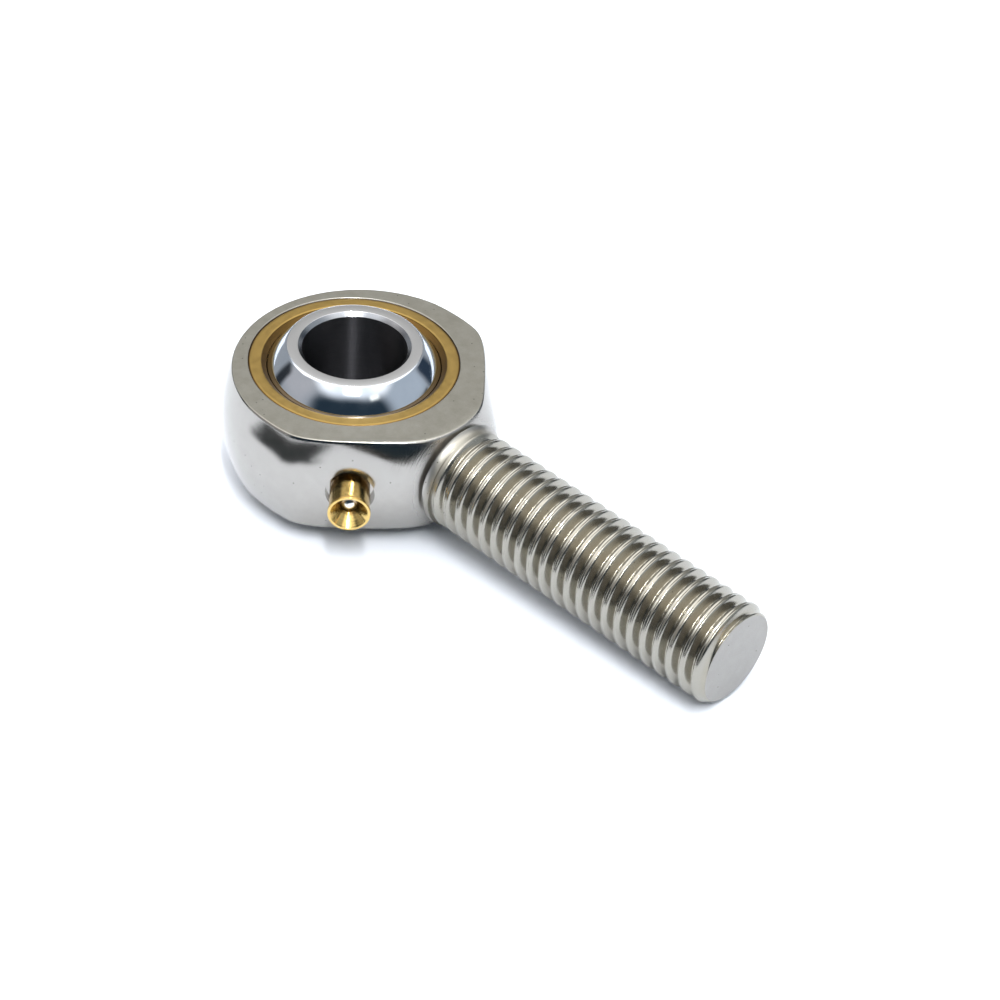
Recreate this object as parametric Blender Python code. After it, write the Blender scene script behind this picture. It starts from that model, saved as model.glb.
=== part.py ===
"""Male rod end bearing, size 10: a threaded housing, a swaged brass race, a pierced ball and a grease nipple.

Frame: the origin is the ball's centre, +X runs along the shank to its threaded end, +Z along the ball's bore.
"""

import math

import bmesh
import bpy
from mathutils import Vector

MM = 0.001
TURN = 2 * math.pi

# Ball, turned about Z.
BORE_RADIUS = 5.0 * MM
BORE_CHAMFER = 0.4 * MM
BALL_RADIUS = 9.525 * MM
BALL_HALF_WIDTH = 7.0 * MM

# Head of the housing: a ball-nosed shape turned about X, with two parallel flats.
HEAD_HALF_WIDTH = 5.25 * MM
HEAD_RADIUS = 13.6 * MM
HEAD_CENTRE_X = 1.4 * MM
SHOULDER_ANGLE = math.radians(41.1)
SHOULDER_END = 14.5 * MM
SHOULDER_END_RADIUS = 5.28 * MM
GROOVE_RADIUS = 4.9 * MM
COLLAR_START = 14.68 * MM
COLLAR_END = 15.25 * MM
COLLAR_RADIUS = 5.0 * MM

# Threaded shank, a right-hand helix about X.
SHANK_END = 48.0 * MM
THREAD_PITCH = 1.5 * MM
CREST_RADIUS = 4.9 * MM
ROOT_RADIUS = 4.08 * MM
CREST_WIDTH = 0.3 * MM
FLANK_WIDTH = 0.474 * MM
RUN_OUT = 1.6 * MM
TIP_RADIUS = 4.35 * MM
TIP_CHAMFER = 0.75 * MM
SPARE_PITCHES = 2

# Race, held in the head by a lip at each face.
RACE_HALF_WIDTH = 5.2 * MM
RACE_RADIUS = 10.5 * MM
RACE_FACE_RADIUS = 9.98 * MM
RACE_MOUTH_RADIUS = 8.8 * MM
RACE_SPHERE_RADIUS = 9.82 * MM
RACE_SPHERE_HALF_WIDTH = 4.8 * MM
LIP_DEPTH = 0.6 * MM
FIT_GAP = 0.1 * MM

# Film of grease between the race and the ball.
FILM_INNER_RADIUS = 9.6 * MM
FILM_OUTER_RADIUS = 9.72 * MM
FILM_HALF_WIDTH = 4.4 * MM

# Grease nipple, on an axis through the ball's centre. Distances run out along that axis.
NIPPLE_ANGLE = math.radians(-45)
NIPPLE_RIM = 16.45 * MM
NIPPLE_RADIUS = 1.97 * MM
NIPPLE_SHOULDER = 12.9 * MM
NIPPLE_TAIL_END = 11.0 * MM
NIPPLE_TAIL_RADIUS = 1.6 * MM
FUNNEL_RADIUS = 1.72 * MM
FUNNEL_DEPTH = 1.1 * MM
THROAT_RADIUS = 0.72 * MM
THROAT_LENGTH = 0.2 * MM
CHAMBER_RADIUS = 1.15 * MM
CHAMBER_END = 11.4 * MM
OUTLET_RADIUS = 0.55 * MM
POCKET_RADIUS = 2.3 * MM
# How far the check ball's seat reaches along the axis for each unit that it widens, about 40 degrees.
SEAT_SLOPE = 0.8
CHECK_BALL_RADIUS = 0.9 * MM
CHECK_BALL_AT = 14.5 * MM
SPRING_RADIUS = 0.75 * MM
SPRING_WIRE_RADIUS = 0.12 * MM
SPRING_START = 11.65 * MM
SPRING_END = 13.75 * MM
SPRING_TURNS = 4
GREASE_HOLE_RADIUS = 0.8 * MM

# How finely round shapes are divided.
LARGE_SEGMENTS = 56
THREAD_SEGMENTS = 24
SMALL_SEGMENTS = 28
COIL_SEGMENTS = 12
CHECK_BALL_SEGMENTS = 16
NOSE_STEPS = 14
BALL_STEPS = 12
RACE_STEPS = 10
FILM_STEPS = 8
CHECK_BALL_STEPS = 10

# How far a cutter runs past what it cuts, and how near two points are one.
OVERRUN = 2.0 * MM
WELD_DISTANCE = 0.0001 * MM
SHARP_ANGLE = math.radians(32)

X_AXIS = Vector((1, 0, 0))
Y_AXIS = Vector((0, 1, 0))
Z_AXIS = Vector((0, 0, 1))


def clear_scene():
    for item in list(bpy.data.objects):
        bpy.data.objects.remove(item, do_unlink=True)


def make_material(name, colour, metallic, roughness):
    material = bpy.data.materials.new(name)
    material.use_nodes = True
    shader = material.node_tree.nodes["Principled BSDF"]
    shader.inputs["Base Color"].default_value = (*colour, 1.0)
    shader.inputs["Metallic"].default_value = metallic
    shader.inputs["Roughness"].default_value = roughness
    return material


def object_from(name, mesh_data, material=None):
    item = bpy.data.objects.new(name, mesh_data)
    bpy.context.scene.collection.objects.link(item)
    if material:
        mesh_data.materials.append(material)
    return item


def shade(item):
    item.data.shade_smooth()
    item.data.set_sharp_from_angle(angle=SHARP_ANGLE)


def mesh_from_bmesh(name, bm):
    bmesh.ops.remove_doubles(bm, verts=bm.verts, dist=WELD_DISTANCE)
    bmesh.ops.recalc_face_normals(bm, faces=bm.faces)
    mesh_data = bpy.data.meshes.new(name)
    bm.to_mesh(mesh_data)
    bm.free()
    return mesh_data


def turned(name, profile, axis, segments, is_ring=False, material=None):
    """A turned solid. The profile is a list of (distance along the axis, radius); a ring's profile is a loop."""
    radial = Y_AXIS if axis is X_AXIS else X_AXIS
    bm = bmesh.new()
    points = [bm.verts.new(axis * along + radial * radius) for along, radius in profile]
    pairs = list(zip(points, points[1:]))
    if is_ring:
        pairs.append((points[-1], points[0]))
    edges = [bm.edges.new(pair) for pair in pairs]
    bmesh.ops.spin(
        bm,
        geom=points + edges,
        cent=(0, 0, 0),
        axis=axis,
        angle=TURN,
        steps=segments,
        use_merge=True,
    )
    item = object_from(name, mesh_from_bmesh(name, bm), material)
    shade(item)
    return item


def as_cutter(item):
    item.hide_render = True
    item.display_type = "WIRE"
    return item


def add_boolean(target, other, operation):
    modifier = target.modifiers.new(f"{operation.title()} {other.name}", "BOOLEAN")
    modifier.operation = operation
    modifier.solver = "EXACT"
    modifier.object = other


def arc(centre, radius, start, end, steps):
    """Points along an arc in profile space, its angles measured from the turning axis."""
    angles = [start + (end - start) * step / steps for step in range(steps + 1)]
    return [
        (centre + radius * math.cos(angle), radius * math.sin(angle))
        for angle in angles
    ]


def shoulder_meets_nose():
    """Where the shoulder's cone meets the nose's sphere: (distance along X, radius)."""
    slope = math.tan(SHOULDER_ANGLE)
    rise = SHOULDER_END_RADIUS + slope * (SHOULDER_END - HEAD_CENTRE_X)
    a = 1 + slope**2
    b = -2 * slope * rise
    c = rise**2 - HEAD_RADIUS**2
    offset = (-b - math.sqrt(b**2 - 4 * a * c)) / (2 * a)
    return HEAD_CENTRE_X + offset, rise - slope * offset


def head_profile():
    corner_x, corner_radius = shoulder_meets_nose()
    corner_angle = math.atan2(corner_radius, corner_x - HEAD_CENTRE_X)
    nose = arc(HEAD_CENTRE_X, HEAD_RADIUS, math.pi, corner_angle, NOSE_STEPS)
    nose[0] = (HEAD_CENTRE_X - HEAD_RADIUS, 0)
    core_radius = ROOT_RADIUS - FIT_GAP
    core_start = COLLAR_END + COLLAR_RADIUS - core_radius
    neck = [
        (SHOULDER_END, SHOULDER_END_RADIUS),
        (SHOULDER_END, GROOVE_RADIUS),
        (COLLAR_START, GROOVE_RADIUS),
        (COLLAR_START, COLLAR_RADIUS),
        (COLLAR_END, COLLAR_RADIUS),
        (core_start, core_radius),
        (core_start, 0),
    ]
    return nose + neck


def thread_steps():
    """One pitch of the thread's outline: (distance along X from the crest's middle, radius)."""
    half_crest = CREST_WIDTH / 2
    return [
        (-half_crest - FLANK_WIDTH, ROOT_RADIUS),
        (-half_crest, CREST_RADIUS),
        (half_crest, CREST_RADIUS),
        (half_crest + FLANK_WIDTH, ROOT_RADIUS),
    ]


def helix_point(bm, x, radius, angle):
    return bm.verts.new((x, radius * math.cos(angle), radius * math.sin(angle)))


def thread_helix(name):
    """A right-hand thread, longer than the shank at both ends, whose crest crosses +Y at whole pitches."""
    outline = thread_steps()
    first_pitch = math.floor(COLLAR_START / THREAD_PITCH) - SPARE_PITCHES
    pitches = math.ceil(SHANK_END / THREAD_PITCH) + SPARE_PITCHES - first_pitch
    bm = bmesh.new()
    columns = []
    for segment in range(THREAD_SEGMENTS):
        share = segment / THREAD_SEGMENTS
        # The first column runs one pitch further, to meet the end of the last turn.
        rows = pitches + 1 if segment == 0 else pitches
        column = []
        for row in range(rows):
            start = (first_pitch + row + share) * THREAD_PITCH
            for step, radius in outline:
                column.append(helix_point(bm, start + step, radius, TURN * share))
        columns.append(column)
    last = len(columns[1]) - 1
    columns.append(columns[0][len(outline):])
    for left, right in zip(columns, columns[1:]):
        for low in range(last):
            bm.faces.new((left[low], left[low + 1], right[low + 1], right[low]))
    close_end(bm, [column[0] for column in columns], columns[0][:len(outline)])
    close_end(bm, [column[last] for column in columns], columns[0][last:last + len(outline)])
    return object_from(name, mesh_from_bmesh(name, bm))


def close_end(bm, rim, step):
    """Fans one end of the helix shut: round its rim, then back along the step between two turns."""
    centre_x = sum(vertex.co.x for vertex in rim) / len(rim)
    centre = bm.verts.new((centre_x, 0, 0))
    loop = rim + step[:0:-1] + rim[:1]
    for here, there in zip(loop, loop[1:]):
        if here is not there:
            bm.faces.new((centre, here, there))


def shank_envelope():
    """What the thread is trimmed to: a run-out at the collar and a chamfer at the tip."""
    start = COLLAR_END - FIT_GAP
    outer = CREST_RADIUS + FIT_GAP
    profile = [
        (start, 0),
        (start, ROOT_RADIUS),
        (start + RUN_OUT, outer),
        (SHANK_END - TIP_CHAMFER, outer),
        (SHANK_END, TIP_RADIUS),
        (SHANK_END, 0),
    ]
    return as_cutter(turned("shank_envelope", profile, X_AXIS, 2 * THREAD_SEGMENTS))


def shank_thread():
    thread = as_cutter(thread_helix("shank_thread"))
    add_boolean(thread, shank_envelope(), "INTERSECT")
    return thread


def flats_slab():
    """The space between the head's two flats."""
    bm = bmesh.new()
    # A cube of size 2 spans one unit each way, so that it scales by half lengths.
    bmesh.ops.create_cube(bm, size=2)
    reach = SHANK_END + OVERRUN
    bmesh.ops.scale(bm, vec=(reach, reach, HEAD_HALF_WIDTH), verts=bm.verts)
    return as_cutter(object_from("flats_slab", mesh_from_bmesh("flats_slab", bm)))


def race_seat():
    lip_radius = RACE_FACE_RADIUS + FIT_GAP
    seat_radius = RACE_RADIUS + FIT_GAP
    seat_half = HEAD_HALF_WIDTH - LIP_DEPTH
    past = HEAD_HALF_WIDTH + OVERRUN
    profile = [
        (-past, 0),
        (-past, lip_radius),
        (-HEAD_HALF_WIDTH, lip_radius),
        (-seat_half, seat_radius),
        (seat_half, seat_radius),
        (HEAD_HALF_WIDTH, lip_radius),
        (past, lip_radius),
        (past, 0),
    ]
    return as_cutter(turned("race_seat", profile, Z_AXIS, LARGE_SEGMENTS))


def on_nipple_axis(item):
    item.rotation_euler = (0, 0, NIPPLE_ANGLE)
    return item


def nipple_pocket():
    """The stepped hole that the nipple is driven into."""
    tail_hole = NIPPLE_TAIL_RADIUS + FIT_GAP
    floor = NIPPLE_SHOULDER - FIT_GAP
    profile = [
        (BALL_RADIUS, 0),
        (BALL_RADIUS, tail_hole),
        (floor, tail_hole),
        (floor, POCKET_RADIUS),
        (NIPPLE_RIM + OVERRUN, POCKET_RADIUS),
        (NIPPLE_RIM + OVERRUN, 0),
    ]
    return as_cutter(on_nipple_axis(turned("nipple_pocket", profile, X_AXIS, SMALL_SEGMENTS)))


def grease_hole():
    profile = [
        (BALL_HALF_WIDTH, 0),
        (BALL_HALF_WIDTH, GREASE_HOLE_RADIUS),
        (HEAD_RADIUS, GREASE_HOLE_RADIUS),
        (HEAD_RADIUS, 0),
    ]
    return as_cutter(on_nipple_axis(turned("grease_hole", profile, X_AXIS, SMALL_SEGMENTS)))


def make_housing():
    steel = make_material("nickel_plated_steel", (0.70, 0.68, 0.64), 1.0, 0.28)
    housing = turned("housing", head_profile(), X_AXIS, LARGE_SEGMENTS, material=steel)
    add_boolean(housing, flats_slab(), "INTERSECT")
    add_boolean(housing, race_seat(), "DIFFERENCE")
    add_boolean(housing, nipple_pocket(), "DIFFERENCE")
    add_boolean(housing, shank_thread(), "UNION")


def sphere_zone(radius, half_width, steps):
    """The outline of a sphere about Z between two planes, from bottom to top."""
    edge = math.acos(half_width / radius)
    return arc(0, radius, math.pi - edge, edge, steps)


def make_race():
    brass = make_material("race_brass", (0.72, 0.50, 0.20), 1.0, 0.38)
    chamfer_start = HEAD_HALF_WIDTH - LIP_DEPTH
    outer = [
        (RACE_HALF_WIDTH, RACE_MOUTH_RADIUS),
        (RACE_HALF_WIDTH, RACE_FACE_RADIUS),
        (chamfer_start, RACE_RADIUS),
        (-chamfer_start, RACE_RADIUS),
        (-RACE_HALF_WIDTH, RACE_FACE_RADIUS),
        (-RACE_HALF_WIDTH, RACE_MOUTH_RADIUS),
    ]
    inner = sphere_zone(RACE_SPHERE_RADIUS, RACE_SPHERE_HALF_WIDTH, RACE_STEPS)
    race = turned("race", inner + outer, Z_AXIS, LARGE_SEGMENTS, True, brass)
    add_boolean(race, grease_hole(), "DIFFERENCE")


def make_grease_film():
    grease = make_material("amber_grease", (0.42, 0.27, 0.10), 0.0, 0.35)
    outer = sphere_zone(FILM_OUTER_RADIUS, FILM_HALF_WIDTH, FILM_STEPS)
    inner = sphere_zone(FILM_INNER_RADIUS, FILM_HALF_WIDTH, FILM_STEPS)
    turned("grease_film", outer + inner[::-1], Z_AXIS, LARGE_SEGMENTS, True, grease)


def make_ball():
    steel = make_material("bearing_steel", (0.60, 0.62, 0.66), 1.0, 0.10)
    wall_half = BALL_HALF_WIDTH - BORE_CHAMFER
    chamfer_radius = BORE_RADIUS + BORE_CHAMFER
    bore = [
        (BALL_HALF_WIDTH, chamfer_radius),
        (wall_half, BORE_RADIUS),
        (-wall_half, BORE_RADIUS),
        (-BALL_HALF_WIDTH, chamfer_radius),
    ]
    outside = sphere_zone(BALL_RADIUS, BALL_HALF_WIDTH, BALL_STEPS)
    turned("ball", outside + bore, Z_AXIS, LARGE_SEGMENTS, True, steel)


def make_nipple():
    brass = make_material("nipple_brass", (0.80, 0.58, 0.24), 1.0, 0.22)
    funnel_end = NIPPLE_RIM - FUNNEL_DEPTH
    throat_end = funnel_end - THROAT_LENGTH
    seat_end = throat_end - SEAT_SLOPE * (CHAMBER_RADIUS - THROAT_RADIUS)
    profile = [
        (NIPPLE_RIM, FUNNEL_RADIUS),
        (NIPPLE_RIM, NIPPLE_RADIUS),
        (NIPPLE_SHOULDER, NIPPLE_RADIUS),
        (NIPPLE_SHOULDER, NIPPLE_TAIL_RADIUS),
        (NIPPLE_TAIL_END, NIPPLE_TAIL_RADIUS - FIT_GAP),
        (NIPPLE_TAIL_END, OUTLET_RADIUS),
        (CHAMBER_END, OUTLET_RADIUS),
        (CHAMBER_END, CHAMBER_RADIUS),
        (seat_end, CHAMBER_RADIUS),
        (throat_end, THROAT_RADIUS),
        (funnel_end, THROAT_RADIUS),
    ]
    on_nipple_axis(turned("grease_nipple", profile, X_AXIS, SMALL_SEGMENTS, True, brass))


def make_check_ball():
    steel = make_material("check_ball_steel", (0.68, 0.69, 0.71), 1.0, 0.12)
    profile = arc(0, CHECK_BALL_RADIUS, math.pi, 0, CHECK_BALL_STEPS)
    profile[0] = (-CHECK_BALL_RADIUS, 0)
    profile[-1] = (CHECK_BALL_RADIUS, 0)
    check_ball = turned("nipple_check_ball", profile, X_AXIS, CHECK_BALL_SEGMENTS, material=steel)
    outward = Vector((math.cos(NIPPLE_ANGLE), math.sin(NIPPLE_ANGLE), 0))
    on_nipple_axis(check_ball).location = outward * CHECK_BALL_AT


def make_spring():
    steel = make_material("spring_steel", (0.55, 0.55, 0.56), 1.0, 0.30)
    count = SPRING_TURNS * COIL_SEGMENTS
    wire = bpy.data.curves.new("nipple_spring", "CURVE")
    wire.dimensions = "3D"
    wire.bevel_depth = SPRING_WIRE_RADIUS
    wire.bevel_resolution = 1
    wire.use_fill_caps = True
    spline = wire.splines.new("POLY")
    spline.points.add(count)
    for step, point in enumerate(spline.points):
        angle = TURN * step / COIL_SEGMENTS
        along = SPRING_START + (SPRING_END - SPRING_START) * step / count
        point.co = (along, SPRING_RADIUS * math.cos(angle), SPRING_RADIUS * math.sin(angle), 1)
    on_nipple_axis(object_from("nipple_spring", wire, steel))


clear_scene()
make_housing()
make_race()
make_grease_film()
make_ball()
make_nipple()
make_check_ball()
make_spring()
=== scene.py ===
"""Looks of a male rod end bearing: fine meshes, metal finishes, white floor, soft lights and camera.

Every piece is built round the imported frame, in metres. The ball's centre is the origin, +X runs along the
shank to its threaded end and +Z along the ball's bore.
"""

import math

import bpy
import numpy as np
from mathutils import Matrix, Vector, noise


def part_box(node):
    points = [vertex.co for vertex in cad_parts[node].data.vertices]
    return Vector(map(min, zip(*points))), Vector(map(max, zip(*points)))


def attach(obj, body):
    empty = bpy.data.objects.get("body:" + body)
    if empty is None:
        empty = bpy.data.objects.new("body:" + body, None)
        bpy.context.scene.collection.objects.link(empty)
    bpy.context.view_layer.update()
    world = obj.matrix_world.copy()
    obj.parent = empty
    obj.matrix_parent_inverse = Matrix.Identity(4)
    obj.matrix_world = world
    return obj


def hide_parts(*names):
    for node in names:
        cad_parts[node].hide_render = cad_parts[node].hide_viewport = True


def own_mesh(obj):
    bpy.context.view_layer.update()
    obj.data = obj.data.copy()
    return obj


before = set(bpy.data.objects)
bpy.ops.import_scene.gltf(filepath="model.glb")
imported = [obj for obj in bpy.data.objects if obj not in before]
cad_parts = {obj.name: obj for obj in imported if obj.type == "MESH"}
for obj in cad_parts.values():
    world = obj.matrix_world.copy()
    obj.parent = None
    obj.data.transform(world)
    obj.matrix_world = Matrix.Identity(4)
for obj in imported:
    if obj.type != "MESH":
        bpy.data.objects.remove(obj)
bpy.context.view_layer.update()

MM = 0.001
TURN = 2 * math.pi
X, Y, Z = range(3)


def reach(node, axis):
    """How far a node reaches from the origin along one axis."""
    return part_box(node)[1][axis]


# Sizes of the frame.
HEAD_RADIUS = reach("housing", Y)
HEAD_HALF_WIDTH = reach("housing", Z)
SHANK_END = reach("housing", X)
RACE_RADIUS = reach("race", X)
RACE_HALF_WIDTH = reach("race", Z)
BALL_RADIUS = reach("ball", X)
BALL_HALF_WIDTH = reach("ball", Z)
BALL_RIM_RADIUS = math.sqrt(BALL_RADIUS**2 - BALL_HALF_WIDTH**2)

# Head: a ball nose, a short barrel and a cone that narrows to the collar. All are turned about X.
NOSE_CENTRE_X = 1.4 * MM
NOSE_RADIUS = NOSE_CENTRE_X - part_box("housing")[0].x
BARREL_ROUNDING = 0.5 * MM
CONE_END = 14.5 * MM
CONE_END_RADIUS = 5.28 * MM
CONE_SLOPE = math.tan(math.radians(41.1))
CONE_ROUNDING = 1.1 * MM
TURNED_RIPPLE, TURNED_PITCH = 0.004 * MM, 0.05 * MM
TURNED_START, TURNED_FULL = 10.5 * MM, 13.0 * MM
FLAT_ROUNDING = 0.22 * MM
GROOVE_RADIUS = 4.98 * MM
COLLAR_RADIUS = 5.06 * MM
GROOVE_WALL, GROOVE_LIP = 0.06 * MM, 0.04 * MM
COLLAR_START = 14.68 * MM
COLLAR_END = 15.25 * MM

# Thread, a right-hand helix about X whose crest has a shallow groove between two rolled lips.
THREAD_PITCH = 1.5 * MM
CREST_RADIUS = 4.9 * MM
THREAD_DEPTH = 0.82 * MM
CREST_HALF_WIDTH = 0.215 * MM
FLANK_WIDTH = 0.47 * MM
LIP_ROUNDING = 0.10 * MM
LIP_GROOVE_HALF_WIDTH = 0.15 * MM
LIP_GROOVE_DEPTH = 0.035 * MM
THREAD_RIPPLE, THREAD_RIPPLE_LENGTH = 0.05 * MM, 0.3 * MM
THREAD_RIPPLES_PER_SEGMENT = 0.02
RUN_OUT_START = 14.3 * MM
RUN_OUT_END = 17.2 * MM
TIP_RADIUS = 4.35 * MM
TIP_CHAMFER_SLOPE = 0.75
TIP_ROUNDING = 0.1 * MM

# Seat of the race in the head, and the pocket of the grease nipple.
LIP_RADIUS = 10.06 * MM
LIP_DEPTH = 0.6 * MM
SEAT_GAP = 0.1 * MM
EDGE_ROUNDING = 0.12 * MM
NIPPLE_ANGLE = math.radians(-45)
POCKET_RADIUS = 2.3 * MM
OVERRUN = 2.0 * MM

# Race, film of grease and ball.
RACE_FACE_RADIUS = 9.99 * MM
RACE_MOUTH_RADIUS = 8.78 * MM
RACE_CROWN = 0.035 * MM
RACE_CROWN_WIDTH = 0.22 * MM
RACE_SPHERE_RADIUS = 9.60 * MM
RACE_SPHERE_HALF_WIDTH = 4.72 * MM
STAKED_START, STAKED_SIZE = 9.5 * MM, 0.018 * MM
FILM_OUTER_RADIUS = 9.585 * MM
FILM_INNER_RADIUS = 9.54 * MM
FILM_HALF_WIDTH = 4.5 * MM
BORE_RADIUS = 5.0 * MM
BORE_CHAMFER = 0.4 * MM
BORE_MARGIN = 0.03 * MM
GREASE_HOLE_RADIUS = 0.8 * MM

# Grease nipple. Distances run out from the ball's centre along the nipple's axis.
NIPPLE_RADIUS = 1.97 * MM
NIPPLE_RIM = 16.45 * MM
NIPPLE_SHOULDER = 12.9 * MM
NIPPLE_TAIL_RADIUS = 1.6 * MM
NIPPLE_TAIL_END = 11.0 * MM
NIPPLE_WAIST_RADIUS = 1.87 * MM
NIPPLE_BEAD, NIPPLE_BEAD_END = 0.36 * MM, 0.50 * MM
FUNNEL_RADIUS = 1.74 * MM
FUNNEL_DEPTH = 1.1 * MM
NIPPLE_SEAT_SLOPE = 0.8
THROAT_RADIUS = 0.72 * MM
THROAT_LENGTH = 0.2 * MM
CHAMBER_RADIUS = 1.15 * MM
CHAMBER_END = 11.4 * MM
OUTLET_RADIUS = 0.55 * MM
CHECK_BALL_RADIUS = 0.9 * MM
CHECK_BALL_AT = 14.5 * MM
SPRING_RADIUS = 0.75 * MM
SPRING_WIRE_RADIUS = 0.12 * MM
SPRING_START = 11.65 * MM
SPRING_END = 13.75 * MM
SPRING_TURNS = 4

# How finely surfaces are divided.
HEAD_SEGMENTS = 600
SHANK_SEGMENTS = 200
HEAD_STEP = 0.14 * MM
COLLAR_STEP = 0.05 * MM
THREAD_STEP = THREAD_PITCH / 30
ROUND_SEGMENTS = 256
SMALL_SEGMENTS = 128
ARC_STEPS = 6
ZONE_STEPS = 40
BALL_STEPS = 96
BEAD_STEPS = 48
SPRING_STEPS_PER_TURN = 48
SPRING_SIDES = 16
NOSE_SWEEP = math.radians(62)
TURNED_EDGE = math.radians(40)
MILLED_EDGE = math.radians(50)

# Roundings of the turned pieces' edges.
FINE = 0.05 * MM
BROKEN = 0.1 * MM


# ---------------------------------------------------------------- shapes

def smooth_min(a, b, width):
    """The lesser of two lengths, rounded off where they cross."""
    share = np.clip(0.5 + 0.5 * (b - a) / width, 0, 1)
    return b + (a - b) * share - width * share * (1 - share)


def smooth_step(value, low, high):
    """From 0 at the low value to 1 at the high one, level at both."""
    share = np.clip((value - low) / (high - low), 0, 1)
    return share * share * (3 - 2 * share)


def filleted(corners):
    """Points of a turned outline. Each corner is (along, radius) or (along, radius, fillet)."""
    points = []
    count = len(corners)
    for index, corner in enumerate(corners):
        here = np.array(corner[:2])
        fillet = corner[2] if len(corner) > 2 else 0
        if not fillet:
            points.append(here)
            continue
        before = np.array(corners[index - 1][:2]) - here
        after = np.array(corners[(index + 1) % count][:2]) - here
        before /= np.linalg.norm(before)
        after /= np.linalg.norm(after)
        half = math.acos(np.clip(before @ after, -1, 1)) / 2
        inwards = (before + after) / np.linalg.norm(before + after)
        centre = here + inwards * fillet / math.sin(half)
        start = here + before * fillet / math.tan(half) - centre
        end = here + after * fillet / math.tan(half) - centre
        sweep = math.pi - 2 * half
        for step in range(ARC_STEPS + 1):
            turn = sweep * step / ARC_STEPS
            arm = (start * math.sin(sweep - turn) + end * math.sin(turn)) / math.sin(sweep)
            points.append(centre + arm)
    return np.array(points)


def sphere_zone(radius, half_width, steps):
    """The outline of a sphere between two planes, from the lower to the upper."""
    edge = math.asin(half_width / radius)
    angles = np.linspace(-edge, edge, steps + 1)
    return [(radius * math.sin(angle), radius * math.cos(angle)) for angle in angles]


def object_from(name, points, faces):
    mesh = bpy.data.meshes.new(name)
    mesh.from_pydata(points, [], faces)
    mesh.validate()
    item = bpy.data.objects.new(name, mesh)
    bpy.context.scene.collection.objects.link(item)
    return item


def ring_faces(first, second, count):
    """Quads between two rings of vertices that start at these indices."""
    here = np.arange(count)
    there = (here + 1) % count
    return np.stack([first + here, first + there, second + there, second + here], 1).tolist()


def fan_faces(tip, ring, count, outwards):
    here = np.arange(count)
    there = (here + 1) % count
    pair = (there, here) if outwards else (here, there)
    return np.stack([np.full(count, tip), ring + pair[0], ring + pair[1]], 1).tolist()


def turned(name, outline, segments, is_loop=True, irregular=None):
    """A solid turned about Z from an outline of (along, radius).

    An open outline starts and ends on the axis. irregular gives what is added to the radius.
    """
    outline = np.array(outline)
    body = outline if is_loop else outline[1:-1]
    angles = TURN * np.arange(segments) / segments
    along = np.repeat(body[:, 0], segments)
    radius = np.repeat(body[:, 1], segments)
    angle = np.tile(angles, len(body))
    if irregular:
        radius = radius + irregular(along, radius, angle)
    points = np.stack([radius * np.cos(angle), radius * np.sin(angle), along], 1).tolist()
    faces = []
    for row in range(len(body) - 1):
        faces += ring_faces(row * segments, (row + 1) * segments, segments)
    if is_loop:
        faces += ring_faces((len(body) - 1) * segments, 0, segments)
    else:
        points += [(0, 0, outline[0, 0]), (0, 0, outline[-1, 0])]
        faces += fan_faces(len(points) - 2, 0, segments, True)
        faces += fan_faces(len(points) - 1, (len(body) - 1) * segments, segments, False)
    return finished(object_from(name, points, faces), TURNED_EDGE)


def finished(item, sharp_angle):
    """Faces turned outwards and shaded smooth between sharp edges."""
    mesh = item.data
    corners = np.array([mesh.vertices[i].co for p in mesh.polygons for i in p.vertices[:3]])
    if np.linalg.det(corners.reshape(-1, 3, 3)).sum() < 0:
        mesh.flip_normals()
    mesh.shade_smooth()
    mesh.set_sharp_from_angle(angle=sharp_angle)
    return item


def cut(item, cutter):
    """Takes the cutter's shape out of the item, for good."""
    modifier = item.modifiers.new("cut", "BOOLEAN")
    modifier.operation = "DIFFERENCE"
    modifier.solver = "MANIFOLD"
    modifier.object = cutter
    graph = bpy.context.evaluated_depsgraph_get()
    mesh = bpy.data.meshes.new_from_object(item.evaluated_get(graph))
    item.modifiers.clear()
    item.data = mesh
    bpy.data.objects.remove(cutter, do_unlink=True)


def nipple_matrix():
    """Turns a solid's own +Z to point out along the grease nipple's axis."""
    return Matrix.Rotation(NIPPLE_ANGLE, 4, "Z") @ Matrix.Rotation(math.radians(90), 4, "Y")


def on_nipple_axis(item):
    item.data.transform(nipple_matrix())
    return item


# ---------------------------------------------------------------- housing

def head_outline(x):
    """Radius of the head about X, before the flats are made."""
    nose = np.sqrt(np.clip(NOSE_RADIUS**2 - (x - NOSE_CENTRE_X) ** 2, 0, None))
    cone = CONE_END_RADIUS + CONE_SLOPE * (CONE_END - x)
    radius = smooth_min(nose, np.full_like(x, HEAD_RADIUS + 0.1 * MM), BARREL_ROUNDING)
    return smooth_min(radius, cone, CONE_ROUNDING)


def collar_outline(x, angle):
    """Radius of the step, the groove and the collar before the thread. On top they are ground smooth."""
    places = (CONE_END, CONE_END + GROOVE_WALL, COLLAR_START - GROOVE_LIP, COLLAR_START, COLLAR_END)
    radii = (CONE_END_RADIUS, GROOVE_RADIUS, GROOVE_RADIUS, COLLAR_RADIUS, COLLAR_RADIUS)
    stepped = np.interp(x, places, radii)
    left = np.clip((COLLAR_END - x) / (COLLAR_END - CONE_END), 0, 1)
    smooth = CREST_RADIUS + (CONE_END_RADIUS - CREST_RADIUS) * left**2
    return stepped + (smooth - stepped) * smooth_step(np.sin(angle), -0.1, 0.35)


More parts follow.
